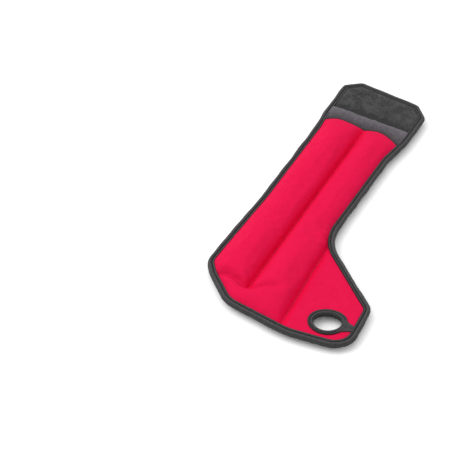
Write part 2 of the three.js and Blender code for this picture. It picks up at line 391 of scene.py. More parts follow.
outline = rounded(OUTLINE)
panel_edge = resampled(rounded(OUTLINE, PANEL_INSET), SPACING, closed=True)
pad_edge = resampled(rounded(OUTLINE, PAD_INSET), SPACING, closed=True)
hole_edge = resampled(thumb_line(THUMB_PANEL_EXTRA, 1.0), SPACING, closed=True)
centre_seam = smoothed(CENTRE_SEAM, SPACING)
lobe_seam = smoothed(LOBE_SEAM, SPACING)
patch_top = smoothed(PATCH_TOP, SPACING)
channel_end = smoothed(CHANNEL_END, SPACING)
lining_end = resampled([(-46.5, LINING_END), (46.5, LINING_END)], SPACING)


def clipped(line):
    """The part of a line that lies well inside the panels' edge, so that no sliver is left beside it."""
    keep = inside(line, pad_edge) & (near_line(line, pad_edge, closed=True)[0] > SPACING * 0.35)
    return line[keep]


# One plan mesh serves the lining and the shell, which are sewn together along its edges and its seams.
flat, plan_faces = triangulated(
    [panel_edge, hole_edge],
    [
        looped(pad_edge),
        centre_seam[2:],
        *(clipped(line) for line in (lobe_seam, channel_end, lining_end, patch_top)),
    ],
    SPACING,
)
to_edge = near_line(flat, outline, closed=True)[0]
to_centre = near_line(flat, centre_seam)[0]
to_lobe = near_line(flat, lobe_seam)[0]
fold_line = smoothed(FOLD_LINE, 2.0)
to_fold, along_fold = near_line(flat, fold_line)
on_fold = (to_fold < 1.8) & (along_fold < 60)
LOBE_AREA = np.vstack([lobe_seam, [(140, -10), (140, 130)]])
on_hem = to_edge < PAD_INSET - ON_LINE
on_seam = (to_centre < ON_LINE) | (to_lobe < ON_LINE)
sewn = (to_edge < PAD_INSET + ON_LINE) | on_seam | inside(flat, LOBE_AREA)
sewn |= flat[:, 1] > np.interp(flat[:, 0], *channel_end.T) - ON_LINE

FULL_FILM = 19.0**2 / 2  # height of the film in the middle of a channel 38 wide


def quilted(side, crown, layer, fold_depth):
    """Plan points with their heights on one side of the seam plane, padded between the sewn lines."""
    film = soap_film(flat, plan_faces, sewn)
    height = crown * (film / FULL_FILM) ** CROWN_ROUND
    fold = fold_depth * ending(along_fold, 1.25, 75) * beside(to_fold, 3.6)
    height = np.where(sewn, height, np.maximum(height - fold, 0.25 * height))
    sink = SEAM_SINK * beside(to_centre, 5) * np.clip((LINING_END - flat[:, 1]) / 12, 0, 1)
    sink += 0.6 * SEAM_SINK * beside(to_lobe, 4)
    return np.column_stack([flat, side * (np.where(on_hem, HEM_HALF, layer) + height) - sink])


def boundary_edges(faces):
    """Directed edges that only one face uses, in that face's own direction."""
    edges = np.vstack([faces[:, [k, (k + 1) % faces.shape[1]]] for k in range(faces.shape[1])])
    known = {tuple(e) for e in edges.tolist()}
    return np.array([e for e in edges.tolist() if (e[1], e[0]) not in known])


def between(faces, count):
    """Faces of the solid between a sheet and its copy, whose points come count later."""
    rim = boundary_edges(faces)
    sides = ([b, a, a + count, b + count] for a, b in rim.tolist())
    return [*faces.tolist(), *(faces[:, ::-1] + count).tolist(), *sides]


def new_mesh(name, points, faces):
    mesh = bpy.data.meshes.new(name)
    mesh.from_pydata([tuple(p) for p in points], [], [tuple(f) for f in faces])
    mesh.update()
    piece = bpy.data.objects.new(name, mesh)
    bpy.context.scene.collection.objects.link(piece)
    return piece


def evaluated(piece):
    """Points and faces of a piece with its modifiers, as arrays, and its faces' material indices."""
    shown = piece.evaluated_get(bpy.context.evaluated_depsgraph_get())
    mesh = shown.to_mesh()
    points = np.zeros(len(mesh.vertices) * 3)
    mesh.vertices.foreach_get("co", points)
    faces = [tuple(f.vertices) for f in mesh.polygons]
    kinds = np.array([f.material_index for f in mesh.polygons])
    shown.to_mesh_clear()
    return points.reshape(-1, 3), faces, kinds


def filled(over, under):
    """Lining and shell after a cloth simulation, with the grit inside pressing out between the seams."""
    count = len(over)
    body = new_mesh("filling", np.vstack([over, under]) * MM, between(plan_faces, count))
    group = body.vertex_groups.new(name="sewn")
    held = np.concatenate([sewn | on_fold, sewn])
    group.add([int(i) for i in np.flatnonzero(held)], 1.0, "REPLACE")
    cloth = body.modifiers.new("cloth", "CLOTH").settings
    cloth.vertex_group_mass = "sewn"
    cloth.quality = 6
    cloth.mass = 0.25
    cloth.tension_stiffness = 12
    cloth.compression_stiffness = 12
    cloth.shear_stiffness = 6
    cloth.bending_stiffness = 0.4
    cloth.use_pressure = True
    cloth.uniform_pressure_force = PRESSURE
    cloth.shrink_min = cloth.shrink_max = -FABRIC_EASE
    cloth.effector_weights.gravity = 0
    for number in range(1, CLOTH_FRAMES + 1):
        bpy.context.scene.frame_set(number)
    points = evaluated(body)[0] / MM
    bpy.context.scene.frame_set(1)
    bpy.data.objects.remove(body)
    before = np.vstack([over, under])
    move = points - before
    size = np.linalg.norm(move, axis=1)
    points = before + move * (np.minimum(size, CLOTH_CAP) / np.maximum(size, 1e-9))[:, None]
    return points[:count], points[count:]


over = quilted(1, CROWN_UP, LAYER_UP, FOLD_DEPTH)
under = quilted(-1, CROWN_DOWN, LAYER_DOWN, 0.2 * FOLD_DEPTH)
over, under = filled(over, under)


# ---- fine surfaces ----

SEAM_CREASE = 0.9


def refined(points, faces, kinds, sharp):
    """A sheet subdivided once, with its sewn lines kept sharp."""
    piece = new_mesh("refine", points, faces)
    mesh = piece.data
    mesh.polygons.foreach_set("material_index", kinds.astype(np.int32))
    crease = mesh.attributes.new("crease_edge", "FLOAT", "EDGE")
    ends = np.zeros(len(mesh.edges) * 2, np.int32)
    mesh.edges.foreach_get("vertices", ends)
    ends = ends.reshape(-1, 2)
    crease.data.foreach_set("value", np.where(sharp[ends].all(1), SEAM_CREASE, 0).astype(np.float32))
    for _ in range(2):
        mesh.materials.append(None)
    level = piece.modifiers.new("fine", "SUBSURF")
    level.levels = level.render_levels = 1
    made = evaluated(piece)
    bpy.data.objects.remove(piece)
    return made


def vertex_normals(points, faces):
    """Unit normals of a quad mesh at its points."""
    quads = np.array(faces)
    a, b = points[quads[:, 2]] - points[quads[:, 0]], points[quads[:, 3]] - points[quads[:, 1]]
    of_face = np.cross(a, b)
    normals = np.zeros_like(points)
    for k in range(4):
        for axis in range(3):
            normals[:, axis] += np.bincount(quads[:, k], of_face[:, axis], len(points))
    return normals / np.maximum(np.linalg.norm(normals, axis=1), 1e-12)[:, None]


def gathers(points, line, depth, reach, pitch, shift, closed=False, from_edge=0.0):
    """Small puckers that run away from a sewn line and fade out over reach."""
    away, along = near_line(points[:, :2], line, closed)
    away = np.maximum(away - from_edge, 0)
    uneven = noise_at(points[:, :2], 9.0, shift)
    wave = np.sin(2 * math.pi * along / pitch + 3.0 * uneven + 0.5 * away)
    fading = np.exp(-((away / reach) ** 1.3)) * np.minimum(1, away / 1.2)
    return depth * (0.55 + 0.45 * uneven) * wave * fading


def ridge(points, line, height, reach, fade=None):
    """A soft ridge along a line, or a crease where the height is negative. It may fade out along the line."""
    away, along = near_line(points[:, :2], line)
    share = ending(along, *fade) if fade else 1
    return height * share * beside(away, reach)


def lie_on(points, level, softness=0.35):
    """Points lifted softly where they would sink below a level."""
    points[:, 2] = level + softness * np.logaddexp(0, (points[:, 2] - level) / softness)
    return points


class Surface:
    """A finished sheet: its fine points, faces, normals and face kinds, and its height at any place.

    Side is 1 for the upper sheet and -1 for the lower one, and its share of painted seam shade is 1 on the
    sewn seams and fades out beside them.
    """

    def __init__(self, points, faces, kinds, side):
        self.points, self.faces, self.kinds, self.side = points, faces, kinds, side
        self.normals = vertex_normals(points, faces)
        from_seams = [near_line(points[:, :2], seam)[0] for seam in (centre_seam, lobe_seam)]
        self.painted_seam_shade = beside(np.minimum(*from_seams), SEAM_SHADE)
        self.tree = BVHTree.FromPolygons([Vector(p) for p in points], faces)

    def at(self, x, y):
        """Height of the surface at a plan point, or at the nearest place where it is cut away."""
        start = Vector((x, y, 60.0 * self.side))
        place = self.tree.ray_cast(start, Vector((0, 0, -self.side)))[0]
        if place is None:
            place = self.tree.find_nearest(Vector((x, y, 2.0 * self.side)))[0]
        return place.z


LINING, TAB_CLOTH, PATCHED = 0, 1, 2
middle = flat[plan_faces].mean(1)
lobe_below_patch = lobe_seam[lobe_seam[:, 1] < PATCH_TOP[-1][1]]
PATCH_AREA = np.vstack([[(-70, -10), (53.3, -10)], lobe_below_patch[::-1], patch_top[::-1], [(-70, 104)]])
top_kinds = np.where(middle[:, 1] > LINING_END, TAB_CLOTH, LINING)
under_kinds = np.where(inside(middle, PATCH_AREA), PATCHED, top_kinds)
PATCH_DEPTH = 0.8

points, faces, kinds = refined(over, plan_faces, top_kinds, on_seam)
lift = gathers(points, centre_seam, 0.32, 5.0, 7.0, 1.0)
lift += gathers(points, lobe_seam, 0.25, 4.0, 8.0, 2.0)
lift += gathers(points, outline, 0.12, 6.0, 13.0, 3.0, closed=True, from_edge=PAD_INSET)
lift += ridge(points, fold_line, *FOLD_CREASE)
off_hem = np.clip((near_line(points[:, :2], outline, closed=True)[0] - PAD_INSET - 0.5) / 5, 0, 1)
lift += off_hem * ridge(points, fold_line - [0, ROLL_BELOW], *FOLD_ROLL)
for crease in PUCKERS:
    lift += off_hem * ridge(points, crease, *PUCKER)
for seam in (centre_seam, lobe_seam):
    lift += ridge(points, seam, *SEAM_GROOVE)
lift += 0.16 * noise_at(points[:, :2], 13.0, 4.0) + 0.05 * noise_at(points[:, :2], 3.5, 5.0)
points = points + vertex_normals(points, faces) * lift[:, None]
top = Surface(points, faces, kinds, 1)

points, faces, kinds = refined(under, plan_faces[:, ::-1], under_kinds, on_seam)
on_patch = inside(points[:, :2], PATCH_AREA)
pull = np.where(on_patch, 0.85, 0.3)
lift = pull * gathers(points, centre_seam, 1.0, 6.5, 5.2, 6.0)
lift += pull * gathers(points, lobe_seam, 0.7, 4.5, 5.5, 7.0)
lift += gathers(points, outline, 0.15, 6.0, 10.0, 8.0, closed=True, from_edge=PAD_INSET)
lift += 0.16 * noise_at(points[:, :2], 12.0, 9.0)
points = points + vertex_normals(points, faces) * lift[:, None]
near_patch = np.clip(1.5 - near_line(points[:, :2], patch_top)[0] / 3, 0, 1)
points = lie_on(points, FLOOR + 0.15 + (PATCH_DEPTH + 0.3) * np.where(on_patch, 1.0, near_patch))
bottom = Surface(points, faces, kinds, -1)


# ---- building pieces ----

pieces = {}


def grained(piece, grain):
    """Keeps each point's place in the cloth, which the materials follow however the piece bends."""
    store = piece.data.attributes.new("grain", "FLOAT_VECTOR", "POINT")
    store.data.foreach_set("vector", np.asarray(grain, np.float32).ravel())


def build(name, points, faces, material, slot, grain=None, normals=None, hard_angle=50):
    """A shaded piece from plan points in millimetres."""
    piece = new_mesh(name, to_row(points), faces)
    piece.data.materials.append(material)
    piece.data.polygons.foreach_set("use_smooth", np.ones(len(faces), bool))
    if normals is None:
        piece.data.set_sharp_from_angle(angle=math.radians(hard_angle))
    else:
        piece.data.normals_split_custom_set_from_vertices([tuple(n) for n in normals])
    grained(piece, points if grain is None else grain)
    pieces[name] = piece
    return piece


def bend(piece, number):
    """Passes a piece on with one bend line of the strap; only its transform is baked here."""
    line = BENDS[number]
    start, end = to_row([(0, line["y"] - BEND_REACH, 0), (0, line["y"] + BEND_REACH, 0)])
    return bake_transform(piece, *line["bodies"], start=tuple(start), end=tuple(end))


def panel_of(y):
    """The number of the panel, one for each bend line, that a plan height belongs to."""
    return np.searchsorted(CUTS, y)


def thickened(points, faces, normals, depth):
    """A sheet as a closed solid: its outer face, the same face depth below it, and a rim round the edge."""
    used, where = np.unique(np.array(faces), return_inverse=True)
    closed = between(where.reshape(-1, len(faces[0])), len(used))
    face, out = points[used], normals[used]
    return np.vstack([face, face - out * depth]), closed, np.vstack([out, -out]), used


def sheet_panels(name, surface, kind, depth, material, slot, node, offset=0.0):
    """One solid panel of a sheet for each bend line that it reaches, in place of the node of its number."""
    face = surface.points + surface.normals * offset
    quads = np.array(surface.faces)
    chosen = np.isin(surface.kinds, kind)
    number = panel_of(surface.points[quads].mean(1)[:, 1])
    made = []
    for n in range(len(BENDS)):
        faces = quads[chosen & (number == n)]
        if not len(faces):
            continue
        points, closed, out, used = thickened(face, faces, surface.normals, depth)
        grain = np.tile(surface.points[used], (2, 1))
        piece = build(f"{name}_{n + 1}", points, closed, material, slot, grain, out)
        # each panel's share of painted seam shade, which the red lining's colour follows
        store = piece.data.attributes.new("painted_seam_shade", "FLOAT", "POINT")
        store.data.foreach_set("value", np.tile(surface.painted_seam_shade[used], 2).astype(np.float32))
        made.append(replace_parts(bend(piece, n), node.format(n + 1)))
    return made


def runs(points):
    """Stretches of a closed line, one or two for each panel, that share their end points with the next."""
    number = panel_of(points[:, 1])
    count = len(points)
    first = next(i for i in range(count) if number[i] != number[i - 1])
    order = [(first + i) % count for i in range(count + 1)]
    stretch = [order[0]]
    for i in order[1:]:
        stretch.append(i)
        if number[i] != number[stretch[0]] or i == order[-1]:
            yield int(number[stretch[0]]), stretch
            stretch = [i]


def swept(rings, closed=False):
    """Faces of a tube through rings of equal size, given as an array of points."""
    count, size = rings.shape[:2]
    faces = []
    for r in range(count if closed else count - 1):
        a, b = r * size, (r + 1) % count * size
        faces.extend([a + k, a + (k + 1) % size, b + (k + 1) % size, b + k] for k in range(size))
    if not closed:
        faces.append(list(range(size))[::-1])
        faces.append([(count - 1) * size + k for k in range(size)])
    return faces


def joined(parts):
    """Several (points, faces) meshes as one."""
    points, faces, first = [], [], 0
    for p, f in parts:
        points.append(p)
        faces.extend([[i + first for i in face] for face in f])
        first += len(p)
    return np.vstack(points), faces


def outward(points, faces):
    """The faces turned so that the closed mesh encloses a positive volume."""
    volume = 0.0
    for f in faces:
        for k in range(1, len(f) - 1):
            volume += np.dot(points[f[0]], np.cross(points[f[k]], points[f[k + 1]]))
    return faces if volume > 0 else [list(reversed(f)) for f in faces]


def tube(rings, closed=False):
    """Points and outward faces of a tube through rings of equal size."""
    rings = np.array(rings)
    points = rings.reshape(-1, 3)
    return points, outward(points - points[0], swept(rings, closed))


def inward_of(line, closed=True):
    """Unit directions to the left of a line at each of its points."""
    ahead = np.roll(line, -1, axis=0) - np.roll(line, 1, axis=0)
    if not closed:
        ahead[0], ahead[-1] = line[1] - line[0], line[-1] - line[-2]
    ahead /= np.linalg.norm(ahead, axis=1)[:, None]
    return np.stack([-ahead[:, 1], ahead[:, 0]], 1)


# ---- materials ----


class Nodes:
    """A material's node tree, with short calls for the nodes that every cloth here uses."""

    def __init__(self, name, roughness, sheen, sheen_roughness, specular):
        self.material = bpy.data.materials.new(name)
        self.material.use_nodes = True
        self.tree = self.material.node_tree
        self.shader = self.tree.nodes["Principled BSDF"]
        self.shader.inputs["Roughness"].default_value = roughness
        self.shader.inputs["Sheen Weight"].default_value = sheen
        self.shader.inputs["Sheen Roughness"].default_value = sheen_roughness
        self.shader.inputs["Specular IOR Level"].default_value = specular
        grain = self.tree.nodes.new("ShaderNodeAttribute")
        grain.attribute_name = "grain"
        self.grain = grain.outputs["Vector"]
        self.height = None

    def link(self, a, b):
        self.tree.links.new(a, b)

    def math(self, operation, a, b=0.0, c=0.0):
        node = self.tree.nodes.new("ShaderNodeMath")
        node.operation = operation
        for socket, value in zip(node.inputs, (a, b, c)):
            if isinstance(value, (int, float)):
                socket.default_value = value
            else:
                self.link(value, socket)
        return node.outputs[0]

    def total(self, *parts, start=0.0):
        """The sum of (value, share) pairs."""
        for value, share in parts:
            start = self.math("MULTIPLY_ADD", value, share, start)
        return start

    def limited(self, value, most=1.0):
        """A value kept between 0 and the most."""
        return self.math("MINIMUM", self.math("MAXIMUM", value, 0.0), most)

    def attribute(self, name):
        node = self.tree.nodes.new("ShaderNodeAttribute")
        node.attribute_name = name
        return node.outputs["Fac"]

    def axis(self, name):
        node = self.tree.nodes.new("ShaderNodeSeparateXYZ")
        self.link(self.grain, node.inputs[0])
        return node.outputs[name]

    def noise(self, size, detail=3.0, roughness=0.55):
        """Noise from 0 to 1 with lumps of a size in millimetres."""
        node = self.tree.nodes.new("ShaderNodeTexNoise")
        node.inputs["Scale"].default_value = 1 / size
        node.inputs["Detail"].default_value = detail
        node.inputs["Roughness"].default_value = roughness
        self.link(self.grain, node.inputs["Vector"])
        return node.outputs["Fac"]

    def cells(self, size, stretch, randomness):
        """Distance from the edges of Voronoi cells of a size in millimetres."""
        place = self.tree.nodes.new("ShaderNodeMapping")
        place.inputs["Scale"].default_value = stretch
        self.link(self.grain, place.inputs["Vector"])
        node = self.tree.nodes.new("ShaderNodeTexVoronoi")
        node.feature = "DISTANCE_TO_EDGE"
        node.inputs["Scale"].default_value = 1 / size
        node.inputs["Randomness"].default_value = randomness
        self.link(place.outputs["Vector"], node.inputs["Vector"])
        return node.outputs["Distance"]

    def ribs(self, axis, pitch, waver=0.0):
        """A wave from 0 to 1 along one axis, one ridge for each pitch, wavering a little."""
        place = self.axis(axis)
        if waver:
            place = self.math("MULTIPLY_ADD", self.noise(6.0, 1.0), waver, place)
        wave = self.math("SINE", self.math("MULTIPLY", place, 2 * math.pi / pitch))
        return self.math("MULTIPLY_ADD", wave, 0.5, 0.5)

    def ramp(self, value, *stops):
        node = self.tree.nodes.new("ShaderNodeValToRGB")
        elements = node.color_ramp.elements
        while len(elements) < len(stops):
            elements.new(0.5)
        for element, (place, color) in zip(elements, stops):
            element.position = place
            element.color = (*color, 1)
        self.link(value, node.inputs[0])
        return node.outputs[0]

    def mix(self, share, a, b):
        node = self.tree.nodes.new("ShaderNodeMix")
        node.data_type = "RGBA"
        self.link(share, node.inputs["Factor"])
        for socket, value in ((node.inputs[6], a), (node.inputs[7], b)):
            if isinstance(value, tuple):
                socket.default_value = (*value, 1)
            else:
                self.link(value, socket)
        return node.outputs[2]

    def relief(self, value, depth):
        """Adds a height in millimetres to the material's bump."""
        part = self.math("MULTIPLY", value, depth)
        self.height = part if self.height is None else self.math("ADD", self.height, part)

    def done(self, color, roughness=None):
        if isinstance(color, tuple):
            self.shader.inputs["Base Color"].default_value = (*color, 1)
        else:
            self.link(color, self.shader.inputs["Base Color"])
        if roughness is not None:
            self.link(roughness, self.shader.inputs["Roughness"])
        if self.height is not None:
            bump = self.tree.nodes.new("ShaderNodeBump")
            bump.inputs["Distance"].default_value = MM
            bump.inputs["Strength"].default_value = 1.0
            self.link(self.height, bump.inputs["Height"])
            self.link(bump.outputs["Normal"], self.shader.inputs["Normal"])
        return self.material


def jersey(name, dark, light, sheen, ribs=0.05, specular=0.25, seam=None):
    """Fine knitted jersey over thin foam: close ribs along the strap, a soft nap and faint mottling.

    Its colour deepens to the seam colour, if one is given, along the sewn seams: painted shade and painted
    red bounce light in the seam valleys.
    """
    n = Nodes(name, roughness=0.78, sheen=sheen, sheen_roughness=0.45, specular=specular)
    wales = n.ribs("X", 0.62, 0.5)
    courses = n.ribs("Y", 0.55, 0.5)
    knit = n.math("MULTIPLY", wales, n.total((courses, 0.5), start=0.5))
    n.relief(knit, ribs)
    n.relief(n.noise(1.1, 4.0), 0.1)
    n.relief(n.noise(7.0, 2.0), 0.25)
    shade = n.total((n.noise(9.0, 2.0), 0.35), (n.noise(1.3, 3.0), 0.45), (knit, 0.25))
    color = n.ramp(shade, (0.2, dark), (0.8, light))
    # painted shade in the seam valleys: a deeper, more saturated red beside the sewn seams
    if seam:
        color = n.mix(n.attribute("painted_seam_shade"), color, seam)
    return n.done(color, roughness=n.total((n.noise(4.0), 0.2), start=0.7))


def tape_cloth(name, dark, light, groove=None, rim=None, painted_light_from=None):
    """Binding tape: lengthwise ribs and a close weave. Its grain is along the tape, then across it.

    Tape that folds round an edge has painted shade round the fold, in its sewn groove and along its inner
    rim. The groove and the rim are given as distances from the outer edge. Tape given a plan height for its
    painted light has painted shade below that height and grows paler, as painted light, over a rise above it.
    """
    n = Nodes(name, roughness=0.7, sheen=0.08, sheen_roughness=0.4, specular=0.15)
    ribs = n.ribs("Y", 0.8)
    n.relief(ribs, 0.12)
    n.relief(n.ribs("X", 0.7, 0.3), 0.06)
    n.relief(n.noise(3.0, 3.0), 0.15)
    shade = n.total((ribs, 0.3), (n.noise(2.2, 4.0), 0.7))
    # painted shade below the given height, where the tape meets the lining, and painted light growing above
    # it
    if painted_light_from:
        risen = n.math("DIVIDE", n.math("SUBTRACT", n.axis("Y"), painted_light_from), PAINTED_LIGHT_RISE)
        below = n.math("LESS_THAN", n.axis("Y"), painted_light_from)
        shade = n.total((shade, 1.0), (n.limited(risen), 0.5), (below, -0.5), start=-0.25)
    color = n.ramp(shade, (0.2, dark), (0.8, light))
    # painted shade in the sewn groove, along the inner rim and round the outer fold
    if groove:
        across = n.math("ABSOLUTE", n.axis("Y"))
        from_groove = n.math("ABSOLUTE", n.math("SUBTRACT", across, groove))
        in_groove = n.math("SUBTRACT", 1.5, n.math("DIVIDE", from_groove, 0.55))
        at_rim = n.math("DIVIDE", n.math("SUBTRACT", across, rim - 0.75), 0.5)
        at_fold = n.total((across, -0.28), start=0.55)
        depth = n.math("MAXIMUM", n.math("MAXIMUM", in_groove, at_rim), at_fold)
        color = n.mix(n.limited(depth, 0.9), color, TAPE_SHADE)
    return n.done(color)


def loop_cloth():
    """Brushed loop fabric: an open mesh of small cells with a fuzzy surface."""
    n = Nodes("loop_cloth", roughness=0.85, sheen=0.35, sheen_roughness=0.6, specular=0.2)
    cell = n.cells(1.9, stretch=(1, 0.8, 1), randomness=0.45)
    rim = n.math("SUBTRACT", 1.0, n.limited(n.math("MULTIPLY", cell, 6.0)))
    fuzz = n.noise(0.7, 5.0, 0.7)
    n.relief(rim, 0.35)
    n.relief(fuzz, 0.3)
    n.relief(n.noise(5.0, 2.0), 0.3)
    shade = n.total((rim, 0.55), (fuzz, 0.5))
    return n.done(n.ramp(shade, (0.2, (0.012, 0.012, 0.013)), (0.9, (0.10, 0.10, 0.105))))


def hook_cloth(name, dark, light):
    """Woven nylon hook tape and its hooks: plain threads, mottled as the hooks lie, with painted shade at the
    foot.
    """
    n = Nodes(name, roughness=0.6, sheen=0.2, sheen_roughness=0.4, specular=0.4)
    n.relief(n.math("MULTIPLY", n.ribs("X", 1.0), n.ribs("Y", 0.8)), 0.2)
    n.relief(n.noise(0.9, 4.0, 0.7), 0.25)
    # painted shade over the foot, where the patch turns down towards the cross tape
    from_foot = n.math("DIVIDE", n.math("SUBTRACT", n.axis("Y"), HOOK_LOW), HOOK_TURN)
    foot = n.math("SUBTRACT", 1.0, n.math("MINIMUM", from_foot, 1.0))
    shade = n.total((n.noise(2.4, 4.0, 0.65), 0.7), (n.noise(10.0, 2.0), 0.4), (foot, -0.22))
    return n.done(n.ramp(shade, (0.47, dark), (0.62, light)))


def thread(name, color):
    n = Nodes(name, roughness=0.55, sheen=0.2, sheen_roughness=0.4, specular=0.4)
    n.relief(n.noise(0.4, 2.0), 0.1)
    return n.done(n.ramp(n.noise(1.5), (0.2, tuple(c * 0.7 for c in color)), (0.8, color)))


def print_ink():
    n = Nodes("print_ink", roughness=0.45, sheen=0.0, sheen_roughness=0.5, specular=0.5)
    n.relief(n.noise(0.6, 3.0), 0.05)
    return n.done(n.ramp(n.noise(2.0, 4.0), (0.3, (0.62, 0.62, 0.62)), (0.6, (0.82, 0.82, 0.82))))


def canvas():
    n = Nodes("grit_canvas", roughness=0.85, sheen=0.1, sheen_roughness=0.5, specular=0.2)
    n.relief(n.math("MULTIPLY", n.ribs("X", 0.9), n.ribs("Y", 0.9)), 0.2)
    n.relief(n.noise(2.0, 3.0), 0.4)
    return n.done(n.ramp(n.noise(5.0, 4.0), (0.3, (0.20, 0.19, 0.17)), (0.7, (0.33, 0.32, 0.29))))


# colour of the painted shade on folded tape, and the rise of the cross tape's painted light
TAPE_SHADE = (0.004, 0.004, 0.0042)
PAINTED_LIGHT_RISE = 12.0
# the red lining's seam colour is painted shade and painted red bounce light in the seam valleys
RED = jersey(
    "lining_jersey", (0.51, 0.0035, 0.038), (0.62, 0.0060, 0.060), 0.0, specular=0.05,
    seam=(0.62, 0.0003, 0.036),
)
BLACK = jersey("shell_jersey", (0.018, 0.018, 0.019), (0.040, 0.040, 0.042), 0.15)
TAB_BLACK = jersey("tab_jersey", (0.028, 0.028, 0.030), (0.052, 0.052, 0.054), 0.15, ribs=0.03)
# the binding and thumb tapes carry painted shade in their grooves, along their inner rims and round their
# folds
TAPE = tape_cloth("binding_tape", (0.024, 0.023, 0.024), (0.080, 0.078, 0.081), TAPE_GROOVE, TAPE_RIM)
RING_TAPE = tape_cloth("thumb_tape", (0.026, 0.025, 0.026), (0.080, 0.078, 0.081), RING_GROOVE, RING_RIM)
TAIL_TAPE = tape_cloth("thumb_tail_tape", (0.022, 0.021, 0.022), (0.062, 0.060, 0.063))
# the cross tape gets painted shade at its foot and painted light towards its upper edge
STRIP = tape_cloth("cross_tape", (0.028, 0.025, 0.029), (0.110, 0.099, 0.112), painted_light_from=285.0)
LOOP = loop_cloth()
# both hook materials carry painted shade at the patch's foot
HOOK_BASE = hook_cloth("hook_base", (0.005, 0.005, 0.0055), (0.034, 0.033, 0.035))
HOOK_NYLON = hook_cloth("hook_nylon", (0.006, 0.006, 0.0065), (0.095, 0.094, 0.097))
BLACK_THREAD = thread("black_thread", (0.025, 0.025, 0.026))
RED_THREAD = thread("red_thread", (0.50, 0.003, 0.045))
GREY_THREAD = thread("grey_thread", (0.32, 0.32, 0.33))
INK = print_ink()
CANVAS = canvas()

# ---- lining, shell, tab panels and loop patch ----

SHEET_DEPTH = 1.2

linings = sheet_panels("lining_cloth", top, LINING, SHEET_DEPTH, RED, "lining", "lining_{}")
shells = sheet_panels("shell_cloth", bottom, (LINING, PATCHED), SHEET_DEPTH, BLACK, "shell", "shell_{}")

for name, surface, node in (
    ("tab_inner_cloth", top, "tab_inner_panel"), ("tab_outer_cloth", bottom, "tab_outer_panel"),
):
    for panel in sheet_panels(name, surface, TAB_CLOTH, SHEET_DEPTH, TAB_BLACK, "shell", node):
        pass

patches = sheet_panels(
    "loop_patch_cloth", bottom, PATCHED, PATCH_DEPTH - 0.15, LOOP, "loop_fabric", "loop_patch_{}",
    offset=PATCH_DEPTH,
)

# ---- edge binding ----

# The folded tape's section: distance in from the outer edge, and height over the seam plane.
TAPE_SECTION = [
    (6.1, 0.9), (6.85, 1.5), (6.8, 2.3), (6.25, 2.9), (5.5, 2.85), (4.95, 2.4), (4.5, 1.65), (4.15, 1.65),
    (3.75, 2.2), (3.2, 2.95), (2.4, 3.3), (1.5, 3.1), (0.8, 2.5), (0.3, 1.55), (0.05, 0.5),
]
TAPE_WOBBLE = 0.9
TAPE_GATHERS = 3.4  # their pitch


def folded(section):
    """A tape's whole section, over its outer edge and back underneath."""
    return section + [(u, -z) for u, z in reversed(section)]


def edge_binding():
    """The folded tape round the strap, with the slight waves and gathers of sewn tape, panel by panel."""
    line = resampled(rounded(OUTLINE, 0, 1.0), 1.3, closed=True)
    along = travelled(line)
    sway = noise_at(line, 17.0, 11.0)
    lift = noise_at(line, 18.0, 14.0)
    gather = np.sin(2 * math.pi * along / TAPE_GATHERS + 4 * noise_at(line, 6.0, 16.0))
    rings, grain = [], []
    for i, (place, left) in enumerate(zip(line, inward_of(line))):
        ring = []
        for u, z in folded(TAPE_SECTION):
            outer = max(0.0, 1 - u / 4.5)
            push = TAPE_WOBBLE * sway[i] * outer + 0.10 * gather[i] * outer
            swell = 1 + 0.05 * gather[i] * (u < 4.8)
            x, y = place + left * (u + push)
            ring.append((x, y, z * swell + 0.35 * TAPE_WOBBLE * lift[i] * outer))
            # the grain's across place sets where the tape's painted shade falls
            grain.append((along[i], u if z > 0 else -u, 0.0))
        rings.append(ring)
    rings, grain = np.array(rings), np.array(grain).reshape(len(line), -1, 3)
    parts = {}
    for number, stretch in runs(line):
        parts.setdefault(number, []).append((*tube(rings[stretch]), grain[stretch].reshape(-1, 3)))
    for number, group in sorted(parts.items()):
        points, faces = joined([(p, f) for p, f, _ in group])
        places = np.vstack([g for _, _, g in group])
        piece = build(f"edge_binding_{number + 1}", points, faces, TAPE, "binding_tape", places)
        nodes = [f"left_binding_{number + 1}", f"right_binding_{number + 1}"]
        if number == TAB_PANEL:
            nodes.append("tab_binding")
        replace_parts(bend(piece, number), *nodes)


edge_binding()

# ---- thumb hole ----

RING_SECTION = [
    (4.6, 1.2), (5.3, 1.8), (5.3, 2.6), (4.8, 3.0), (4.2, 2.9), (3.7, 2.4), (3.3, 2.2), (3.0, 2.4),
    (2.5, 3.0), (1.8, 3.4), (1.0, 3.0), (0.4, 2.1), (0.1, 1.2), (0.0, 0.4),
]
RING_GATHERS = 30


def thumb_ring():
    steps = 150
    angles = -2 * math.pi * np.arange(steps) / steps
    ruche = np.sin(RING_GATHERS * angles + 1.5 * np.sin(3 * angles))
    rings, grain = [], []
    for i in range(steps):
        ring = []
        for u, z in folded(RING_SECTION):
            inner = max(0.0, 1 - u / 4.5)
            extra = u + 0.16 * ruche[i] * inner + 0.2 * math.sin(3 * angles[i] + 0.6)
            x, y = thumb_oval(extra, angles[i : i + 1])[0]
            ring.append((x, y, z * (1 + 0.05 * ruche[i] * (u < 3))))
            # the grain's across place sets where the ring tape's painted shade falls
            grain.append((THUMB_HALF[0] * -angles[i], u if z > 0 else -u, 0.0))
        rings.append(ring)
    piece = build("thumb_ring", *tube(rings, closed=True), RING_TAPE, "binding_tape", np.array(grain))
    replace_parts(bend(piece, 0), "thumb_hole_binding")


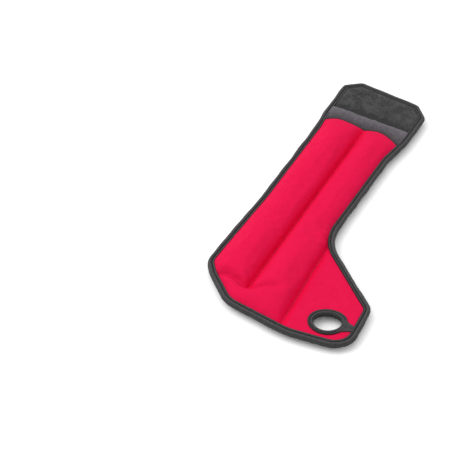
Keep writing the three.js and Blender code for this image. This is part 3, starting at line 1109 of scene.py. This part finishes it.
def thumb_tails(name, surface):
    """The ring's two tape ends, laid together and run out under the edge binding."""
    side = surface.side
    rings = []
    for share in np.linspace(0, 1, 12):
        x = THUMB.x + 12.6 + share * 12.2
        middle_y = THUMB.y + 2.0 + 1.8 * share
        half = 3.3 + 5.6 * (1 - share) ** 1.6
        ring = []
        for across in (-1, -0.94, -0.55, -0.12, 0, 0.12, 0.55, 0.94, 1):
            y = middle_y + half * across
            ground = surface.at(x, y) if share > 0.35 else side * LAYER_UP
            rise = 0.35 if abs(across) == 1 else 1.25 if across else 0.75
            ring.append((x, y, ground + side * rise))
        ring.extend((x, p[1], side * (LAYER_UP - 0.9)) for p in reversed(ring[:]))
        rings.append(ring)
    bend(build(name, *tube(rings), TAIL_TAPE, "binding_tape"), 0)


thumb_ring()
thumb_tails("thumb_tails_inner", top)
thumb_tails("thumb_tails_outer", bottom)

# ---- stitching ----


def stitch(place, ahead, up, length, thickness):
    """One stitch: a short thread that dives into the cloth at both ends."""
    across = np.cross(up, ahead)
    sides = 6
    rings = []
    for t, fat in ((-1, 0.45), (-0.7, 0.9), (0, 1.0), (0.7, 0.9), (1, 0.45)):
        centre = place + ahead * t * length / 2 + up * thickness * (0.45 - 0.9 * t * t)
        rings.append([
            centre + thickness / 2 * fat * (across * math.cos(a) + up * math.sin(a))
            for a in 2 * math.pi * np.arange(sides) / sides
        ])
    return tube(rings)


def stitch_row(line, heights, side, pitch, length, thickness):
    """Stitches along a line at one height or one for each point, as (place along the strap, mesh) pairs."""
    places = np.column_stack([line, np.broadcast_to(heights, len(line))])
    up = np.array([0.0, 0, side])
    made = []
    lengths = travelled(places)
    for at in np.arange(pitch / 2, lengths[-1], pitch):
        i = min(np.searchsorted(lengths, at), len(places) - 1)
        a, b = places[i - 1], places[i]
        share = (at - lengths[i - 1]) / max(lengths[i] - lengths[i - 1], 1e-9)
        place = a + (b - a) * share
        ahead = (b - a) - up * np.dot(b - a, up)
        ahead /= np.linalg.norm(ahead)
        made.append((place[1], stitch(place, ahead, up, length, thickness)))
    return made


def sew(name, stitches, material, slot):
    """Stitches gathered into one piece for each panel."""
    for n in range(len(BENDS)):
        parts = [mesh for y, mesh in stitches if panel_of(y) == n]
        if parts:
            points, faces = joined(parts)
            bend(build(f"{name}_{n + 1}", points, faces, material, slot), n)


EDGE_STITCH = {"pitch": 3.1, "length": 2.2, "thickness": 0.5}
SEAM_STITCH = {"pitch": 3.0, "length": 2.2, "thickness": 0.5}

edge_row = looped(resampled(rounded(OUTLINE, TAPE_GROOVE, 1.0), 1.0, closed=True))
ring_row = looped(thumb_line(RING_GROOVE, 1.0))
edge_stitches = []
for row, height in ((edge_row, 1.7), (ring_row, 2.2)):
    for side in (1, -1):
        edge_stitches += stitch_row(row, side * height, side, **EDGE_STITCH)
sew("edge_stitches", edge_stitches, BLACK_THREAD, "binding_tape")

seam_lines = [smoothed(CENTRE_SEAM, 1.0)[4:], smoothed(LOBE_SEAM, 1.0)[5:-4]]
for name, surface, material, slot in (
    ("lining_stitches", top, RED_THREAD, "lining"), ("shell_stitches", bottom, BLACK_THREAD, "shell"),
):
    stitches = []
    for line in seam_lines:
        on_patch = inside(line, PATCH_AREA) & (surface is bottom)
        proud = 0.1 + np.where(on_patch, PATCH_DEPTH, 0.0)
        heights = np.array([surface.at(x, y) for x, y in line]) + surface.side * proud
        stitches += stitch_row(line, heights, surface.side, **SEAM_STITCH)
    sew(name, stitches, material, slot)

# ---- tab: cross tape, hook patch and printed mark ----


foot_line = smoothed(CHANNEL_END, 1.0)
STRIP_THICK = 1.5
STRIP_SHARES = (0, 0.03, 0.12, 0.3, 0.5, 0.7, 0.88, 0.97, 1)
STRIP_LIFTS = (0.05, 0.35, 0.5, 0.62, 0.85, 1.15, 1.4, 1.2, 0.1)


def cross_tape():
    """A gathered tape laid over the lining's sewn end, with its edges turned down."""
    xs = np.linspace(-42.4, 45.0, 75)
    rings = []
    for x in xs:
        along = np.array([[x, 0.0]])
        low = np.interp(x, foot_line[:, 0], foot_line[:, 1])
        high = STRIP_TOP + noise_at(along, 8.0, 41.0)[0]
        ys = [low + (high - low) * share for share in STRIP_SHARES]
        ground = [top.at(x, y) for y in ys]
        thick = STRIP_THICK * (1 + 0.7 * noise_at(along, 5.0, 31.0)[0])
        upper_face = [(x, y, g + thick * k) for y, g, k in zip(ys, ground, STRIP_LIFTS)]
        lower_face = [(x, y, g - 0.4) for y, g in zip(ys, ground)]
        rings.append(upper_face + lower_face[::-1])
    points, faces = tube(rings)
    # the grain's Y runs from the tape's foot up to its top edge, so that its painted shade and painted light
    # follow the tape
    grain = points.copy()
    shares = np.array(STRIP_SHARES + STRIP_SHARES[::-1])
    grain[:, 1] = np.tile(STRIP_TOP - 15 * (1 - shares), len(xs))
    tape = bend(build("cross_tape", points, faces, STRIP, "binding_tape", grain), TAB_PANEL)
    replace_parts(tape, "tab_cross_tape")


cross_tape()


def slab(loop, low, high, turn=0.5):
    """A flat plate with rounded edges over a convex outline."""
    left = inward_of(loop)
    soft = turn * 0.3
    profile = ((turn, low), (0, low + 2 * soft), (0, high - turn), (soft, high - soft), (turn, high))
    return tube([np.column_stack([loop + left * inset, np.full(len(loop), z)]) for inset, z in profile])


def tab_loop(inset, low, step=1.5):
    """The part of the tab above a plan height, inset from its outer edge, as a closed line."""
    edge = rounded(OUTLINE, inset, 1.0)
    upper = edge[edge[:, 1] > low]
    foot = np.array([[upper[-1, 0], low], [upper[0, 0], low]])
    return resampled(np.vstack([foot, upper]), step, closed=True)


HOOK_FOOT = LAYER_UP + 0.1
HOOK_FACE = HOOK_FOOT + 1.2


def hook_level(y):
    """Height of the hook patch's face, which turns down towards the cross tape."""
    from_top = 1 - np.clip((y - HOOK_LOW) / HOOK_TURN, 0, 1)
    return HOOK_FACE - 0.9 * from_top**2


def hook_patch():
    edge = tab_loop(PATCH_INSET, HOOK_LOW)
    plan, faces = triangulated([edge], [], 2.0)
    from_rim = near_line(plan, edge, closed=True)[0]
    face = hook_level(plan[:, 1]) - 0.5 * np.exp(-from_rim)
    back = np.full(len(plan), HOOK_FOOT - 0.3)
    points = np.vstack([np.column_stack([plan, face]), np.column_stack([plan, back])])
    base = build("hook_patch_base", points, between(faces, len(plan)), HOOK_BASE, "hook_fabric")
    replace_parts(bend(base, TAB_PANEL), "hook_patch")
    row = looped(tab_loop(PATCH_INSET + 1.6, HOOK_LOW + 1.6, 1.0))
    stitches = stitch_row(row, hook_level(row[:, 1]), 1, **EDGE_STITCH)
    points, faces = joined([mesh for _, mesh in stitches])
    bend(build("hook_patch_stitches", points, faces, BLACK_THREAD, "hook_fabric"), TAB_PANEL)


# A hook's thread, from its foot to its tip: reach to the side, height and radius.
HOOK_THREAD = ((0, 0, 0.17), (0.05, 0.75, 0.15), (0.35, 1.05, 0.14), (0.68, 0.85, 0.13), (0.74, 0.55, 0.08))


def hook_field():
    """Rows of small nylon hooks, each a short bent thread leaning its own way."""
    random = np.random.default_rng(7)
    field = tab_loop(PATCH_INSET + 2.9, HOOK_LOW + 2.9)
    low, high = field.min(0), field.max(0)
    places = [
        (x + (n % 2) * 0.75, y)
        for n, y in enumerate(np.arange(low[1], high[1], 1.25))
        for x in np.arange(low[0], high[0], 1.5)
    ]
    places = np.array(places)
    places = places[inside(places, field)]
    places += random.normal(0, 0.12, places.shape)
    parts = []
    for x, y in places:
        heading = random.normal(math.pi / 2 if random.random() < 0.5 else -math.pi / 2, 0.5)
        lean = np.array([math.cos(heading), math.sin(heading), 0])
        side = np.array([-lean[1], lean[0], 0])
        foot = np.array([x, y, hook_level(y) - 0.15])
        tall = random.normal(1.0, 0.12)
        rings = []
        for reach, rise, fat in HOOK_THREAD:
            centre = foot + lean * reach * tall + np.array([0, 0, rise * tall])
            out = lean if reach < 0.2 else np.array([0, 0, 1])
            rings.append([centre + fat * (side * math.cos(a) - out * math.sin(a)) for a in (0.5, 2.6, 4.7)])
        parts.append(tube(rings))
    points, faces = joined(parts)
    bend(build("hook_patch_hooks", points, faces, HOOK_NYLON, "hook_fabric", hard_angle=80), TAB_PANEL)


def printed_mark():
    """A plain dumbbell sign on the tab's outer face."""
    ground = bottom.at(0, MARK_Y)
    shapes = [(0, 11.6, 2.6, 0.4)]  # place across the tab, width, height and corner radius
    for sign in (-1, 1):
        shapes += [(sign * 8.0, 3.6, 15.0, 1.4), (sign * 12.0, 3.4, 9.0, 1.2)]
    parts = []
    for x, wide, tall, radius in shapes:
        turns = ((-1, -1), (1, -1), (1, 1), (-1, 1))
        corners = [(x + u * wide / 2, MARK_Y + v * tall / 2, radius) for u, v in turns]
        parts.append(slab(rounded(corners, 0, 0.6), ground - 0.22, ground + 0.3, turn=0.12))
    points, faces = joined(parts)
    piece = build("printed_sign", points, faces, INK, "print")
    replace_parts(bend(piece, TAB_PANEL), "printed_mark")


hook_patch()
hook_field()
printed_mark()

# ---- overlocked edge of the loop patch ----


def cord_mesh(line, radius, sides=6):
    """A round thread along a line of plan points."""
    ahead = np.gradient(line, axis=0)
    ahead /= np.linalg.norm(ahead, axis=1)[:, None]
    up = np.tile([0.0, 0, 1], (len(line), 1))
    across = np.cross(ahead, up)
    across /= np.linalg.norm(across, axis=1)[:, None]
    up = np.cross(across, ahead)
    angles = 2 * math.pi * np.arange(sides) / sides
    return tube([
        [p + radius * (a * math.cos(t) + u * math.sin(t)) for t in angles]
        for p, a, u in zip(line, across, up)
    ])


def overlock():
    line = smoothed(PATCH_TOP, 0.5)
    line = line[inside(line, pad_edge)]
    left = inward_of(line, closed=False)
    swing = 1.1 * np.sin(2 * math.pi * 0.5 * np.arange(len(line)) / 2.0)
    path = line + left * (swing - 0.5)[:, None]
    points = []
    for (x, y), s in zip(path, swing):
        ground = bottom.at(x, y)
        points.append((x, y, ground - 0.25 - PATCH_DEPTH * (1 if s < 0.5 else 0.35)))
    number = int(panel_of(line[:, 1].mean()))
    bend(build("loop_patch_overlock", *cord_mesh(np.array(points), 0.28), GREY_THREAD, "loop_fabric"), number)


overlock()

# ---- grit bags ----

BAG_GAP = 2.4


def grit_bags():
    """Two long lumpy canvas bags, about BAG_GAP of height inside the lining and the shell."""
    thick = (over[:, 2] - under[:, 2]) > 2 * BAG_GAP + 5
    lumps = 0.5 * noise_at(flat, 7.0, 21.0)
    for name, sign in (("left", -1), ("right", 1)):
        seam_x = np.interp(flat[:, 1], *np.array(sorted((y, x) for x, y in CENTRE_SEAM)).T)
        own = thick & (sign * (flat[:, 0] - seam_x) > 1.5)
        faces = plan_faces[own[plan_faces].all(1)]
        number = panel_of(flat[faces].mean(1)[:, 1])
        for n in range(len(BENDS)):
            part = faces[number == n]
            if not len(part):
                continue
            used, where = np.unique(part, return_inverse=True)
            closed = between(where.reshape(-1, 3), len(used))
            high = over[used, 2] - BAG_GAP + lumps[used]
            low = np.maximum(under[used, 2], FLOOR + 0.2) + BAG_GAP - lumps[used]
            points = np.column_stack([np.tile(flat[used], (2, 1)), np.concatenate([high, low])])
            piece = build(f"{name}_grit_bag_cloth_{n + 1}", points, closed, CANVAS, "grit_bag")
            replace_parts(bend(piece, n), f"{name}_grit_bag_{n + 1}")


grit_bags()

# ---- floor, light and camera ----


def floor_cloth():
    material = bpy.data.materials.new("floor_white")
    material.use_nodes = True
    shader = material.node_tree.nodes["Principled BSDF"]
    shader.inputs["Base Color"].default_value = (0.92, 0.92, 0.92, 1)
    shader.inputs["Roughness"].default_value = 0.9
    shader.inputs["Specular IOR Level"].default_value = 0.1
    return material


bpy.ops.mesh.primitive_plane_add(size=8, location=(0, 0, -0.0002))
floor = bpy.context.object
floor.name = "floor"
floor.data.materials.append(floor_cloth())

CAMERA_PITCH = math.radians(45)
CAMERA_AZIMUTH = math.radians(30.2)
CAMERA_PLACE = np.array([376.9, -650.9, FLOOR + 863.0])

camera = bpy.data.objects.new("camera", bpy.data.cameras.new("camera"))
bpy.context.scene.collection.objects.link(camera)
bpy.context.scene.camera = camera
camera.data.lens = 100
camera.data.sensor_width = 36
camera.location = PLAN_ORIGIN + CAMERA_PLACE * MM
camera.rotation_euler = (math.pi / 2 - CAMERA_PITCH, 0, CAMERA_AZIMUTH)
camera.data.clip_start = 0.05
camera.data.clip_end = 20


def area_light(name, azimuth, elevation, distance, size, power):
    """A square light aimed at the strap's middle. Azimuth is measured from the camera's, to its right."""
    turn = CAMERA_AZIMUTH + math.radians(azimuth)
    rise = math.radians(elevation)
    back = Vector((math.sin(turn) * math.cos(rise), -math.cos(turn) * math.cos(rise), math.sin(rise)))
    lamp = bpy.data.objects.new(name, bpy.data.lights.new(name, "AREA"))
    lamp.data.shape = "SQUARE"
    lamp.data.size = size
    lamp.data.energy = power
    lamp.location = back * distance
    lamp.rotation_mode = "QUATERNION"
    lamp.rotation_quaternion = back.to_track_quat("Z", "Y")
    bpy.context.scene.collection.objects.link(lamp)


area_light("key", -100, 45, 1.8, 1.2, 15)
area_light("top", -165, 68, 1.8, 1.5, 9)

world = bpy.data.worlds.new("world")
bpy.context.scene.world = world
world.use_nodes = True
world.node_tree.nodes["Background"].inputs["Color"].default_value = (1, 1, 1, 1)
world.node_tree.nodes["Background"].inputs["Strength"].default_value = 1.0
bpy.context.scene.view_settings.view_transform = "Standard"
